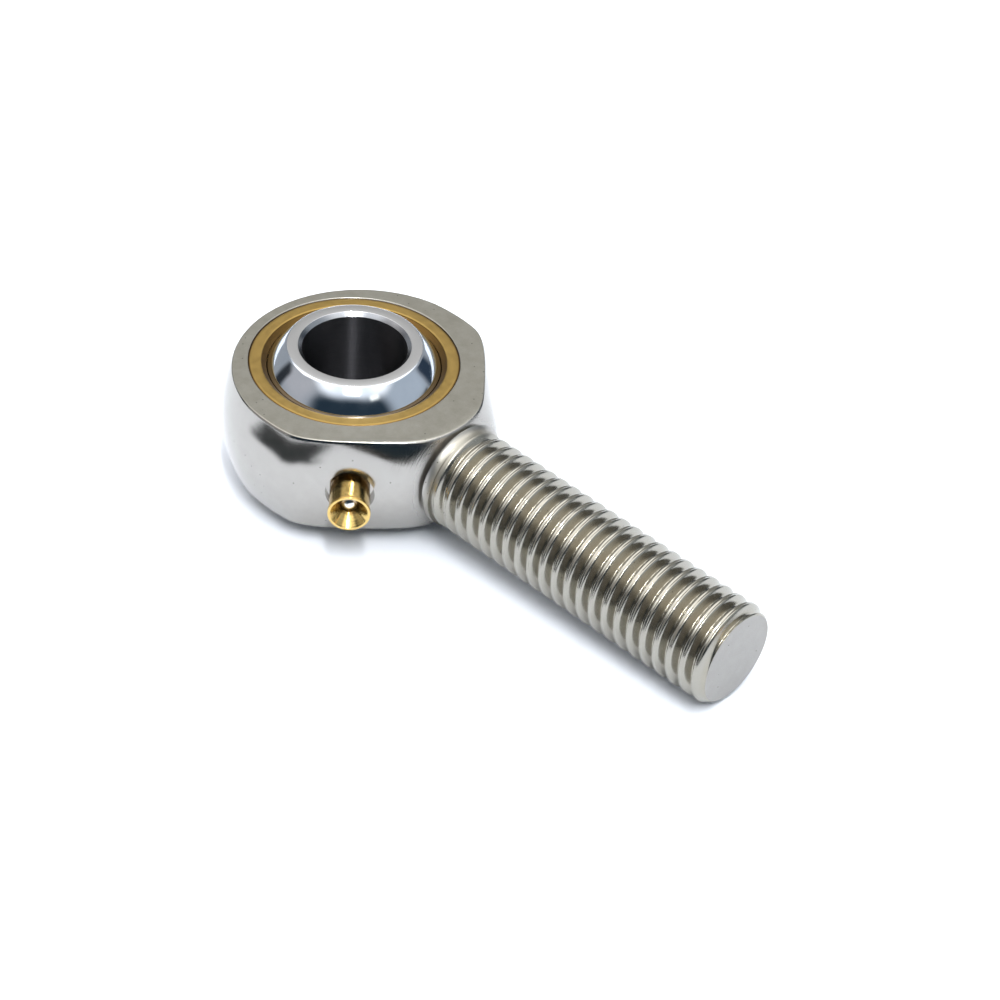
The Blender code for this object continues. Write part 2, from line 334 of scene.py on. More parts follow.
def thread_outline(x, angle, ripple):
    """Radius of the threaded shank at places along X and angles about it."""
    turns = x / THREAD_PITCH - angle / TURN
    off_crest = np.abs(turns - np.round(turns)) * THREAD_PITCH
    rise = (off_crest - CREST_HALF_WIDTH) / FLANK_WIDTH
    depth = -smooth_min(-rise, np.zeros_like(rise), LIP_ROUNDING / FLANK_WIDTH)
    depth = smooth_min(depth, np.ones_like(depth), 0.3)
    full_depth = THREAD_DEPTH * smooth_step(x, RUN_OUT_START, RUN_OUT_END)
    groove = 1 - smooth_step(off_crest, 0, LIP_GROOVE_HALF_WIDTH)
    formed = smooth_step(x, RUN_OUT_START, RUN_OUT_END)
    return CREST_RADIUS - full_depth * depth - groove * formed * (LIP_GROOVE_DEPTH + ripple)


def tip_outline(x):
    """The chamfer at the threaded end, with a small rounding where it meets the end face."""
    chamfer = TIP_RADIUS + TIP_CHAMFER_SLOPE * (SHANK_END - x)
    near_end = np.clip((x - SHANK_END + TIP_ROUNDING) / TIP_ROUNDING, 0, 1)
    return chamfer - TIP_ROUNDING * (1 - np.sqrt(1 - near_end**2))


def housing_places():
    """Places along X of the housing's rings: those of the head, then those of the shank."""
    nose_steps = round(NOSE_RADIUS * NOSE_SWEEP / HEAD_STEP)
    nose_angles = np.linspace(0, NOSE_SWEEP, nose_steps + 1)[1:]
    nose = NOSE_CENTRE_X - NOSE_RADIUS * np.cos(nose_angles)
    cone_steps = round((CONE_END - nose[-1]) / HEAD_STEP)
    head = np.linspace(nose[-1], CONE_END, cone_steps + 1)[1:]
    collar = np.arange(CONE_END + 0.03 * MM, COLLAR_END, COLLAR_STEP)
    thread_end = SHANK_END - TIP_ROUNDING
    thread_steps = round((thread_end - COLLAR_END) / THREAD_STEP)
    thread = np.linspace(COLLAR_END, thread_end, thread_steps + 1)
    tip = SHANK_END - TIP_ROUNDING * (1 - np.sin(np.linspace(0, math.pi / 2, ARC_STEPS + 1)[1:]))
    return np.concatenate([nose, head]), np.concatenate([collar, thread, tip])


def flattened(z):
    """Heights pressed flat at the two parallel faces, with a small rounding along their edges."""
    start = HEAD_HALF_WIDTH - FLAT_ROUNDING
    over = np.clip(np.abs(z) - start, 0, 2 * FLAT_ROUNDING)
    eased = start + over - over**2 / (4 * FLAT_ROUNDING)
    return np.sign(z) * np.where(np.abs(z) > start, eased, np.abs(z))


def thread_ripple(x, angle):
    """The roughness of the groove along the thread's crest."""
    round_x = SHANK_SEGMENTS * THREAD_RIPPLES_PER_SEGMENT
    spot = (x / THREAD_RIPPLE_LENGTH, round_x * math.cos(angle), round_x * math.sin(angle))
    return THREAD_RIPPLE * noise.noise(spot)


def housing_solid():
    """The head and its shank as one closed mesh, before the seat and the pocket are cut."""
    head, shank = housing_places()
    wide = TURN * np.arange(HEAD_SEGMENTS) / HEAD_SEGMENTS
    narrow = TURN * np.arange(SHANK_SEGMENTS) / SHANK_SEGMENTS
    places, angle = np.meshgrid(head, wide, indexing="ij")
    turning = TURNED_RIPPLE * np.sin(places / TURNED_PITCH)
    radius = head_outline(places) + turning * smooth_step(places, TURNED_START, TURNED_FULL)
    head_points = np.stack([places, radius * np.cos(angle), flattened(radius * np.sin(angle))], -1)
    places, angle = np.meshgrid(shank, narrow, indexing="ij")
    ripple = np.array([[thread_ripple(x, a) for a in narrow] for x in shank])
    radius = thread_outline(places, angle, ripple)
    radius = np.where(places < COLLAR_END, collar_outline(places, angle), radius)
    radius = smooth_min(radius, tip_outline(places), 0.1 * MM)
    shank_points = np.stack([places, radius * np.cos(angle), radius * np.sin(angle)], -1)
    face_radii = TIP_RADIUS * np.array([0.93, 0.75, 0.5, 0.25, 0.08])
    end_points = np.array([
        [(SHANK_END, r * math.cos(a), r * math.sin(a)) for a in narrow] for r in face_radii
    ])
    points = np.concatenate([part.reshape(-1, 3) for part in (head_points, shank_points, end_points)])
    points = points.tolist() + [(NOSE_CENTRE_X - NOSE_RADIUS, 0, 0), (SHANK_END, 0, 0)]
    faces = []
    for row in range(len(head) - 1):
        faces += ring_faces(row * HEAD_SEGMENTS, (row + 1) * HEAD_SEGMENTS, HEAD_SEGMENTS)
    last_wide = (len(head) - 1) * HEAD_SEGMENTS
    first_narrow = len(head) * HEAD_SEGMENTS
    ratio = HEAD_SEGMENTS // SHANK_SEGMENTS
    for step in range(SHANK_SEGMENTS):
        left = [last_wide + (step * ratio + i) % HEAD_SEGMENTS for i in range(ratio + 1)]
        faces.append(left + [first_narrow + (step + 1) % SHANK_SEGMENTS, first_narrow + step])
    rows = len(shank) + len(face_radii)
    for row in range(rows - 1):
        start = first_narrow + row * SHANK_SEGMENTS
        faces += ring_faces(start, start + SHANK_SEGMENTS, SHANK_SEGMENTS)
    faces += fan_faces(len(points) - 2, 0, HEAD_SEGMENTS, True)
    faces += fan_faces(len(points) - 1, first_narrow + (rows - 1) * SHANK_SEGMENTS, SHANK_SEGMENTS, False)
    return object_from("housing_body", points, faces)


def race_seat():
    """What is cut out of the head for the race: a bore with a narrower lip at each face."""
    mouth = LIP_RADIUS + EDGE_ROUNDING
    seat_radius = RACE_RADIUS + SEAT_GAP
    seat_half = HEAD_HALF_WIDTH - LIP_DEPTH
    rounding = np.linspace(0, math.pi / 2, ARC_STEPS + 1)
    lip = [
        (HEAD_HALF_WIDTH - EDGE_ROUNDING * (1 - math.sin(a)), mouth - EDGE_ROUNDING * math.cos(a))
        for a in rounding
    ]
    above = HEAD_HALF_WIDTH + OVERRUN
    upper = [(seat_half, seat_radius)] + lip + [(above, mouth), (above, 0)]
    lower = [(-along, radius) for along, radius in upper[::-1]]
    return turned("race_seat", lower + upper, ROUND_SEGMENTS, is_loop=False)


def nipple_pocket():
    """What is cut out of the head for the grease nipple."""
    tail_hole = NIPPLE_TAIL_RADIUS + SEAT_GAP
    floor = NIPPLE_SHOULDER - SEAT_GAP
    outline = [
        (BALL_RADIUS, 0),
        (BALL_RADIUS, tail_hole),
        (floor, tail_hole),
        (floor, POCKET_RADIUS),
        (NIPPLE_RIM + OVERRUN, POCKET_RADIUS),
        (NIPPLE_RIM + OVERRUN, 0),
    ]
    return on_nipple_axis(turned("nipple_pocket", outline, SMALL_SEGMENTS, is_loop=False))


def make_housing():
    item = housing_solid()
    cut(item, race_seat())
    cut(item, nipple_pocket())
    return finished(item, MILLED_EDGE)


# ---------------------------------------------------------------- bearing

def make_race():
    """The brass ring: a crowned face on each side, a spherical inside and a hole for the grease."""
    chamfer_start = HEAD_HALF_WIDTH - LIP_DEPTH
    crown_z = RACE_HALF_WIDTH - RACE_CROWN
    crown_radius = RACE_FACE_RADIUS - RACE_CROWN_WIDTH
    outer = filleted([
        (crown_z, RACE_MOUTH_RADIUS, BROKEN),
        (RACE_HALF_WIDTH, RACE_MOUTH_RADIUS + RACE_CROWN_WIDTH, 0.4 * MM),
        (RACE_HALF_WIDTH, crown_radius, 0.6 * MM),
        (crown_z, RACE_FACE_RADIUS, FINE),
        (chamfer_start, RACE_RADIUS, 0.2 * MM),
        (-chamfer_start, RACE_RADIUS, 0.2 * MM),
        (-crown_z, RACE_FACE_RADIUS, FINE),
        (-RACE_HALF_WIDTH, crown_radius, 0.6 * MM),
        (-RACE_HALF_WIDTH, RACE_MOUTH_RADIUS + RACE_CROWN_WIDTH, 0.6 * MM),
        (-crown_z, RACE_MOUTH_RADIUS, BROKEN),
        (0, RACE_SPHERE_RADIUS),
    ])[:-1]
    inner = sphere_zone(RACE_SPHERE_RADIUS, RACE_SPHERE_HALF_WIDTH, ZONE_STEPS)

    def staked(along, radius, angle):
        """The swaged face's outer edge isn't quite round."""
        share = smooth_step(radius, STAKED_START, RACE_FACE_RADIUS)
        share = share * (np.abs(along) > chamfer_start + 2 * BROKEN)
        wave = np.sin(3 * angle + 0.7) + 0.6 * np.sin(7 * angle + 2) + 0.4 * np.sin(13 * angle)
        return STAKED_SIZE * wave * share

    race = turned("race_ring", inner + outer.tolist(), ROUND_SEGMENTS, irregular=staked)
    hole = [
        (BALL_HALF_WIDTH, 0),
        (BALL_HALF_WIDTH, GREASE_HOLE_RADIUS),
        (HEAD_RADIUS, GREASE_HOLE_RADIUS),
        (HEAD_RADIUS, 0),
    ]
    cut(race, on_nipple_axis(turned("grease_hole", hole, SMALL_SEGMENTS, is_loop=False)))
    return finished(race, TURNED_EDGE)


def make_grease_film():
    outer = sphere_zone(FILM_OUTER_RADIUS, FILM_HALF_WIDTH, ZONE_STEPS)
    inner = sphere_zone(FILM_INNER_RADIUS, FILM_HALF_WIDTH, ZONE_STEPS)
    return turned("grease_layer", outer + inner[::-1], ROUND_SEGMENTS)


def make_ball():
    """The pierced ball, with a chamfer at each end of its bore."""
    chamfer_radius = BORE_RADIUS + BORE_CHAMFER
    wall_half = BALL_HALF_WIDTH - BORE_CHAMFER
    outside = sphere_zone(BALL_RADIUS, BALL_HALF_WIDTH - 0.06 * MM, BALL_STEPS)
    face_radius = BALL_RIM_RADIUS - FINE
    bore = filleted([
        (BALL_HALF_WIDTH, face_radius, 0.03 * MM),
        (BALL_HALF_WIDTH, chamfer_radius, FINE),
        (wall_half, BORE_RADIUS, 0.08 * MM),
        (-wall_half, BORE_RADIUS, 0.08 * MM),
        (-BALL_HALF_WIDTH, chamfer_radius, FINE),
        (-BALL_HALF_WIDTH, face_radius, 0.03 * MM),
    ])
    return turned("pierced_ball", outside + bore.tolist(), ROUND_SEGMENTS)


# ---------------------------------------------------------------- grease nipple

def make_nipple():
    """The hollow nipple. Its outline goes from the funnel's mouth along the outside, then back inside."""
    funnel_end = NIPPLE_RIM - FUNNEL_DEPTH
    throat_end = funnel_end - THROAT_LENGTH
    seat_end = throat_end - NIPPLE_SEAT_SLOPE * (CHAMBER_RADIUS - THROAT_RADIUS)
    outline = filleted([
        (NIPPLE_RIM, FUNNEL_RADIUS, 0.03 * MM),
        (NIPPLE_RIM, NIPPLE_RADIUS, 0.06 * MM),
        (NIPPLE_RIM - NIPPLE_BEAD, NIPPLE_RADIUS, FINE),
        (NIPPLE_RIM - NIPPLE_BEAD_END, NIPPLE_WAIST_RADIUS, FINE),
        (NIPPLE_SHOULDER, NIPPLE_WAIST_RADIUS, 0.06 * MM),
        (NIPPLE_SHOULDER, NIPPLE_TAIL_RADIUS, FINE),
        (NIPPLE_TAIL_END, NIPPLE_TAIL_RADIUS - SEAT_GAP, 0.15 * MM),
        (NIPPLE_TAIL_END, OUTLET_RADIUS, FINE),
        (CHAMBER_END, OUTLET_RADIUS),
        (CHAMBER_END, CHAMBER_RADIUS, BROKEN),
        (seat_end, CHAMBER_RADIUS, FINE),
        (throat_end, THROAT_RADIUS),
        (funnel_end, THROAT_RADIUS, 0.04 * MM),
    ])
    return on_nipple_axis(turned("nipple_body", outline, SMALL_SEGMENTS))


def make_check_ball():
    angles = np.linspace(math.pi, 0, BEAD_STEPS + 1)
    outline = [
        (CHECK_BALL_AT + CHECK_BALL_RADIUS * math.cos(a), CHECK_BALL_RADIUS * math.sin(a)) for a in angles
    ]
    return on_nipple_axis(turned("check_ball_bead", outline, SMALL_SEGMENTS, is_loop=False))


def make_spring():
    """A coil of round wire with closed, flattened end turns."""
    steps, sides = SPRING_TURNS * SPRING_STEPS_PER_TURN, SPRING_SIDES
    points = []
    for step in range(steps + 1):
        turn = SPRING_TURNS * step / steps
        climb = smooth_step(turn, 0.4, SPRING_TURNS - 0.4) * 0.9 + 0.1 * turn / SPRING_TURNS
        centre_z = SPRING_START + (SPRING_END - SPRING_START) * float(climb)
        out = Vector((math.cos(TURN * turn), math.sin(TURN * turn), 0))
        for side in range(sides):
            a = TURN * side / sides
            ring = out * (SPRING_RADIUS + SPRING_WIRE_RADIUS * math.cos(a))
            points.append((ring.x, ring.y, centre_z + SPRING_WIRE_RADIUS * math.sin(a)))
    faces = []
    for step in range(steps):
        faces += ring_faces(step * sides, (step + 1) * sides, sides)
    faces += [list(range(sides))[::-1], [steps * sides + side for side in range(sides)]]
    return on_nipple_axis(finished(object_from("valve_spring", points, faces), MILLED_EDGE))


# ---------------------------------------------------------------- materials

def add(tree, kind, inputs=(), **properties):
    """A new node. Inputs are pairs of (socket name or number, value or another node's output)."""
    made = tree.nodes.new(kind)
    for name, value in properties.items():
        setattr(made, name, value)
    for socket, value in inputs:
        if isinstance(value, bpy.types.NodeSocket):
            tree.links.new(value, made.inputs[socket])
        else:
            made.inputs[socket].default_value = value
    return made


def calc(tree, operation, first, second=0.0):
    return add(tree, "ShaderNodeMath", ((0, first), (1, second)), operation=operation).outputs[0]


def ramp(tree, value, low, high, to_low=0.0, to_high=1.0):
    """A smooth change from one number to another as the value goes from low to high."""
    names = ("Value", "From Min", "From Max", "To Min", "To Max")
    inputs = tuple(zip(names, (value, low, high, to_low, to_high)))
    return add(tree, "ShaderNodeMapRange", inputs, interpolation_type="SMOOTHSTEP").outputs["Result"]


def blend(tree, share, first, second):
    """A colour between two others."""
    inputs = (("Factor", share), ("A", first), ("B", second))
    made = add(tree, "ShaderNodeMix", (), data_type="RGBA")
    for name, value in inputs:
        named = (s for s in made.inputs if s.name == name and s.enabled)
        socket = next(s for s in named if s.type in ("RGBA", "VALUE"))
        if isinstance(value, bpy.types.NodeSocket):
            tree.links.new(value, socket)
        else:
            socket.default_value = value
    return next(s for s in made.outputs if s.type == "RGBA")


def colour(red, green, blue):
    return (red, green, blue, 1.0)


def grain(tree, place, scale, detail=3.0, roughness=0.5):
    """Smooth noise, from 0 to 1, whose spots are about 1/scale millimetres across."""
    inputs = (("Vector", place), ("Scale", scale), ("Detail", detail), ("Roughness", roughness))
    return add(tree, "ShaderNodeTexNoise", inputs).outputs[0]


def joined(tree, first, second):
    """A place made from two numbers."""
    return add(tree, "ShaderNodeCombineXYZ", ((0, first), (1, second))).outputs[0]


def stretched(tree, place, scale):
    return add(tree, "ShaderNodeVectorMath", ((0, place), (1, scale)), operation="MULTIPLY").outputs[0]


def start_material(name, metallic=1.0):
    """A new material, its shader, the place on the piece in millimetres and that place's x, y and z."""
    material = bpy.data.materials.new(name)
    material.use_nodes = True
    tree = material.node_tree
    shader = tree.nodes["Principled BSDF"]
    shader.inputs["Metallic"].default_value = metallic
    origin = add(tree, "ShaderNodeTexCoord").outputs["Object"]
    place = stretched(tree, origin, (1 / MM,) * 3)
    parts = add(tree, "ShaderNodeSeparateXYZ", ((0, place),)).outputs
    return material, tree, shader, place, parts


def across(tree, first, second):
    """The distance from an axis, from the two coordinates across it."""
    squares = [calc(tree, "MULTIPLY", value, value) for value in (first, second)]
    return calc(tree, "SQRT", calc(tree, "ADD", *squares))


def set_looks(tree, shader, tone, gloss):
    """Wires the shader's colour and roughness."""
    tree.links.new(tone, shader.inputs["Base Color"])
    tree.links.new(gloss, shader.inputs["Roughness"])


def set_bump(tree, shader, height, size):
    """Bump from a height of 0 to 1 that stands for this many millimetres."""
    inputs = (("Height", height), ("Distance", size * MM), ("Strength", 1.0))
    tree.links.new(add(tree, "ShaderNodeBump", inputs).outputs[0], shader.inputs["Normal"])


def nickel_steel():
    """Bright nickel over turned steel, ground matte on the flats and on the end face."""
    material, tree, shader, place, (x, y, z) = start_material("nickel_plated_steel")
    half_width = HEAD_HALF_WIDTH / MM
    flat = ramp(tree, calc(tree, "ABSOLUTE", z), half_width - 0.06, half_width - 0.005)
    end = ramp(tree, x, SHANK_END / MM - 0.03, SHANK_END / MM - 0.005)
    step = CONE_END / MM
    matte = calc(tree, "MAXIMUM", flat, end)
    threaded = ramp(tree, x, step - 0.1, step + 0.7)
    radius = across(tree, y, z)
    # The thread's roots, where painted shade together with dirt darkens the steel.
    root_dirt_and_shade = calc(tree, "MULTIPLY", threaded, ramp(tree, radius, 4.75, 4.2))
    mottle = grain(tree, place, 0.9, 4.0, 0.6)
    fine = grain(tree, place, 9.0, 2.0)
    polished = blend(tree, mottle, colour(0.345, 0.332, 0.307), colour(0.41, 0.396, 0.372))
    dull = blend(tree, mottle, colour(0.225, 0.216, 0.181), colour(0.337, 0.328, 0.293))
    olive = blend(tree, mottle, colour(0.30, 0.286, 0.245), colour(0.37, 0.356, 0.315))
    ground = blend(tree, mottle, colour(0.32, 0.309, 0.292), colour(0.385, 0.374, 0.352))
    tone = blend(tree, flat, polished, dull)
    tone = blend(tree, threaded, tone, olive)
    # Painted shade mixed with dirt: a darker brown in the thread's roots.
    tone = blend(tree, calc(tree, "MULTIPLY", root_dirt_and_shade, 0.35), tone, colour(0.30, 0.27, 0.21))
    tone = blend(tree, end, tone, ground)
    pits = pit_mask(tree, place)
    tone = blend(tree, pits, tone, colour(0.05, 0.045, 0.04))
    side_gloss = ramp(tree, mottle, 0.3, 0.7, 0.11, 0.15)
    flat_gloss = ramp(tree, fine, 0.3, 0.7, 0.40, 0.50)
    difference = calc(tree, "SUBTRACT", flat_gloss, side_gloss)
    gloss = calc(tree, "ADD", side_gloss, calc(tree, "MULTIPLY", matte, difference))
    gloss = calc(tree, "ADD", gloss, calc(tree, "MULTIPLY", threaded, 0.07))
    before, after = ramp(tree, x, step - 1.7, step - 0.2), ramp(tree, x, step + 1.7, step + 0.8)
    collar = calc(tree, "MULTIPLY", before, after)
    gloss = calc(tree, "ADD", gloss, calc(tree, "MULTIPLY", collar, 0.2))
    set_looks(tree, shader, tone, gloss)
    rings = grain(tree, stretched(tree, place, (9.0, 0.12, 0.12)), 1.0, 3.0, 0.7)
    before, after = ramp(tree, x, step - 3.7, step - 0.7), ramp(tree, x, step + 1.1, step + 0.7)
    neck = calc(tree, "MULTIPLY", before, after)
    neck = calc(tree, "ADD", calc(tree, "MULTIPLY", neck, 1.9), 0.08)
    turned_share = calc(tree, "MULTIPLY", neck, calc(tree, "SUBTRACT", 1.0, matte))
    height = calc(tree, "MULTIPLY", rings, turned_share)
    height = calc(tree, "ADD", height, calc(tree, "MULTIPLY", fine, 0.12))
    set_bump(tree, shader, height, 0.012)
    return material


def pit_mask(tree, place):
    """A few dark pin-prick pits, about a tenth of a millimetre across."""
    cells = add(tree, "ShaderNodeTexVoronoi", (("Vector", place), ("Scale", 1.0), ("Randomness", 1.0)))
    return ramp(tree, cells.outputs["Distance"], 0.07, 0.045)


def race_brass():
    """Turned brass, darker brown along the swaged edge, and with painted shade and grease inside the mouth.
    """
    material, tree, shader, place, (x, y, z) = start_material("race_brass")
    radius = across(tree, x, y)
    mottle = grain(tree, place, 1.4, 4.0, 0.6)
    brass = blend(tree, mottle, colour(0.31, 0.205, 0.062), colour(0.38, 0.26, 0.085))
    outer_edge, mouth = RACE_FACE_RADIUS / MM, RACE_MOUTH_RADIUS / MM
    # Darker brown along the swaged outer edge. In the mouth next to the ball, the dark brown is painted
    # shade mixed with grease.
    swaged = ramp(tree, radius, outer_edge - 0.13, outer_edge + 0.01)
    edge = calc(tree, "MAXIMUM", swaged, ramp(tree, radius, mouth + 0.12, mouth - 0.02))
    tone = blend(tree, calc(tree, "MULTIPLY", edge, 0.9), brass, colour(0.11, 0.06, 0.018))
    set_looks(tree, shader, tone, ramp(tree, mottle, 0.3, 0.7, 0.36, 0.46))
    rings = joined(tree, calc(tree, "MULTIPLY", radius, 7.0), z)
    grit = calc(tree, "MULTIPLY", grain(tree, place, 6.0), 0.4)
    height = calc(tree, "ADD", grain(tree, rings, 1.0, 3.0), grit)
    set_bump(tree, shader, height, 0.008)
    return material


def ball_steel():
    """Polished bearing steel, with satin ground faces and chamfers."""
    material, tree, shader, place, (x, y, z) = start_material("bearing_steel")
    radius = across(tree, x, y)
    rim, end = BALL_RIM_RADIUS / MM, BALL_HALF_WIDTH / MM
    chamfer = (BORE_RADIUS + BORE_CHAMFER) / MM
    face = ramp(tree, calc(tree, "ABSOLUTE", z), end - 0.05, end - 0.01)
    face = calc(tree, "MULTIPLY", face, ramp(tree, radius, rim, rim - 0.05))
    bevel = ramp(tree, radius, chamfer + 0.06, chamfer)
    smudge = grain(tree, place, 0.5, 3.0, 0.55)
    polished = blend(tree, smudge, colour(0.50, 0.55, 0.62), colour(0.62, 0.66, 0.72))
    tone = blend(tree, face, polished, colour(0.52, 0.52, 0.525))
    bevel_only = calc(tree, "MULTIPLY", bevel, calc(tree, "SUBTRACT", 1.0, face))
    tone = blend(tree, bevel_only, tone, colour(0.33, 0.34, 0.36))
    gloss = ramp(tree, smudge, 0.35, 0.7, 0.05, 0.10)
    satin = calc(tree, "MAXIMUM", calc(tree, "MULTIPLY", face, 0.32), calc(tree, "MULTIPLY", bevel, 0.24))
    set_looks(tree, shader, tone, calc(tree, "MAXIMUM", gloss, satin))
    rings = joined(tree, calc(tree, "MULTIPLY", radius, 8.0), calc(tree, "MULTIPLY", z, 8.0))
    height = calc(tree, "MULTIPLY", grain(tree, rings, 1.0, 2.0), calc(tree, "ADD", face, 0.02))
    set_bump(tree, shader, height, 0.004)
    return material


def honed_steel():
    """The ball's bore, whose fine honing marks run round it. Its near-black colour is painted shade inside
    the bore.
    """
    material, tree, shader, place, _ = start_material("honed_bore_steel_painted_shade")
    shader.inputs["Anisotropic"].default_value = 1.0
    shader.inputs["Anisotropic Rotation"].default_value = 0.25
    tangent = add(tree, "ShaderNodeTangent", direction_type="RADIAL", axis="Z")
    tree.links.new(tangent.outputs[0], shader.inputs["Tangent"])
    marks = grain(tree, stretched(tree, place, (0.4, 0.4, 9.0)), 1.0, 3.0)
    # Painted shade: the bore's steel is coloured near black, standing in for the shade inside the bore.
    tone = blend(tree, marks, colour(0.045, 0.045, 0.05), colour(0.06, 0.06, 0.065))
    set_looks(tree, shader, tone, ramp(tree, marks, 0.3, 0.7, 0.38, 0.42))
    set_bump(tree, shader, marks, 0.0005)
    return material


def nipple_brass():
    """Bright turned brass with fine rings about the nipple's own axis, and painted shade where it sinks
    into its pocket and inside its throat.
    """
    material, tree, shader, place, (x, y, z) = start_material("nipple_brass")
    along = calc(tree, "MULTIPLY", calc(tree, "SUBTRACT", x, y), math.sqrt(0.5))
    aside = calc(tree, "MULTIPLY", calc(tree, "ADD", x, y), math.sqrt(0.5))
    radius = across(tree, aside, z)
    mottle = grain(tree, place, 2.2, 3.0, 0.6)
    brass = blend(tree, mottle, colour(0.56, 0.37, 0.11), colour(0.76, 0.56, 0.22))
    # Painted shade: darker brown where the nipple sinks into its pocket and inside its throat.
    pocket_and_throat_shade = calc(tree, "MAXIMUM", ramp(tree, along, 14.6, 13.4), ramp(tree, radius, 1.0, 0.8))
    tone = blend(tree, calc(tree, "MULTIPLY", pocket_and_throat_shade, 0.7), brass, colour(0.30, 0.17, 0.05))
    set_looks(tree, shader, tone, ramp(tree, mottle, 0.3, 0.7, 0.12, 0.24))
    rings = joined(tree, calc(tree, "MULTIPLY", along, 9.0), calc(tree, "MULTIPLY", radius, 9.0))
    set_bump(tree, shader, grain(tree, rings, 1.0, 3.0), 0.008)
    return material


def check_ball_steel():
    material, tree, shader, place, _ = start_material("check_ball_steel")
    smudge = grain(tree, place, 3.0, 3.0)
    tone = blend(tree, smudge, colour(0.66, 0.66, 0.66), colour(0.80, 0.80, 0.79))
    set_looks(tree, shader, tone, ramp(tree, smudge, 0.3, 0.7, 0.08, 0.18))
    set_bump(tree, shader, grain(tree, place, 12.0), 0.001)
    return material


def spring_steel():
    material, tree, shader, place, _ = start_material("spring_steel")
    drawn = grain(tree, place, 8.0, 3.0)
    tone = blend(tree, drawn, colour(0.40, 0.40, 0.41), colour(0.58, 0.57, 0.55))
    set_looks(tree, shader, tone, ramp(tree, drawn, 0.3, 0.7, 0.22, 0.40))
    set_bump(tree, shader, drawn, 0.004)
    return material


def amber_grease():
    material, tree, shader, place, _ = start_material("amber_grease", metallic=0.0)
    smear = grain(tree, place, 1.5, 4.0, 0.6)
    tone = blend(tree, smear, colour(0.16, 0.09, 0.03), colour(0.34, 0.20, 0.07))
    set_looks(tree, shader, tone, ramp(tree, smear, 0.3, 0.7, 0.12, 0.3))
    set_bump(tree, shader, smear, 0.01)
    return material


# ---------------------------------------------------------------- stage

# The part lies on the ball's lower rim and on the thread's crest near its end.
FLOOR_SIZE = 6.0
FLOOR_GAP = 0.02 * MM
REST_X, REST_Z = 6.46 * MM, -BALL_HALF_WIDTH
FAR_REST_X, FAR_REST_Z = 47.3 * MM, -CREST_RADIUS
FLOOR_TILT = math.atan2(FAR_REST_Z - REST_Z, FAR_REST_X - REST_X)


def make_floor():
    half = FLOOR_SIZE / 2
    corners = [(-half, -half, 0), (half, -half, 0), (half, half, 0), (-half, half, 0)]
    floor = object_from("floor", corners, [(0, 1, 2, 3)])
    floor.rotation_euler = (0, -FLOOR_TILT, 0)
    floor.location = (REST_X, 0, REST_Z - FLOOR_GAP)
    material, tree, shader, place, _ = start_material("white_paper", metallic=0.0)
    shader.inputs["Roughness"].default_value = 0.9
    shader.inputs["Specular IOR Level"].default_value = 0.0
    fibre = grain(tree, place, 0.6, 2.0)
    tone = blend(tree, fibre, colour(0.83, 0.87, 0.94), colour(0.84, 0.88, 0.95))
    tree.links.new(tone, shader.inputs["Base Color"])
    floor.data.materials.append(material)


# A pale dome behind everything, seen only by the camera.
BACKDROP_RADIUS = 1.5
BACKDROP_STEPS = 32


def make_backdrop():
    angles = np.linspace(-math.pi / 2, math.pi / 2, BACKDROP_STEPS + 1)
    outline = [(BACKDROP_RADIUS * math.sin(a), BACKDROP_RADIUS * math.cos(a)) for a in angles]
    dome = turned("backdrop", outline, SMALL_SEGMENTS, is_loop=False)
    dome.visible_diffuse = False
    dome.visible_glossy = False
    dome.visible_transmission = False
    dome.visible_shadow = False
    material, tree, shader, place, _ = start_material("pale_backdrop", metallic=0.0)
    cloth = grain(tree, place, 0.002, 2.0)
    tone = blend(tree, cloth, colour(0.93, 0.95, 0.98), colour(0.97, 0.98, 1.0))
    shader.inputs["Base Color"].default_value = colour(0, 0, 0)
    shader.inputs["Specular IOR Level"].default_value = 0.0
    shader.inputs["Emission Strength"].default_value = 1.0
    tree.links.new(tone, shader.inputs["Emission Color"])
    dome.data.materials.append(material)


# A black board that lies in front of the head and widens away from it, seen only in the metal.
BOARD_HEIGHT = 0.4 * MM
BOARD_NEAR, BOARD_LENGTH = -28 * MM, 260 * MM
BOARD_LEFT, BOARD_LEFT_SPREAD = -35 * MM, 0.7
BOARD_RIGHT, BOARD_RIGHT_SPREAD = 18 * MM, 0.9
BOARD_FADE = 9.0


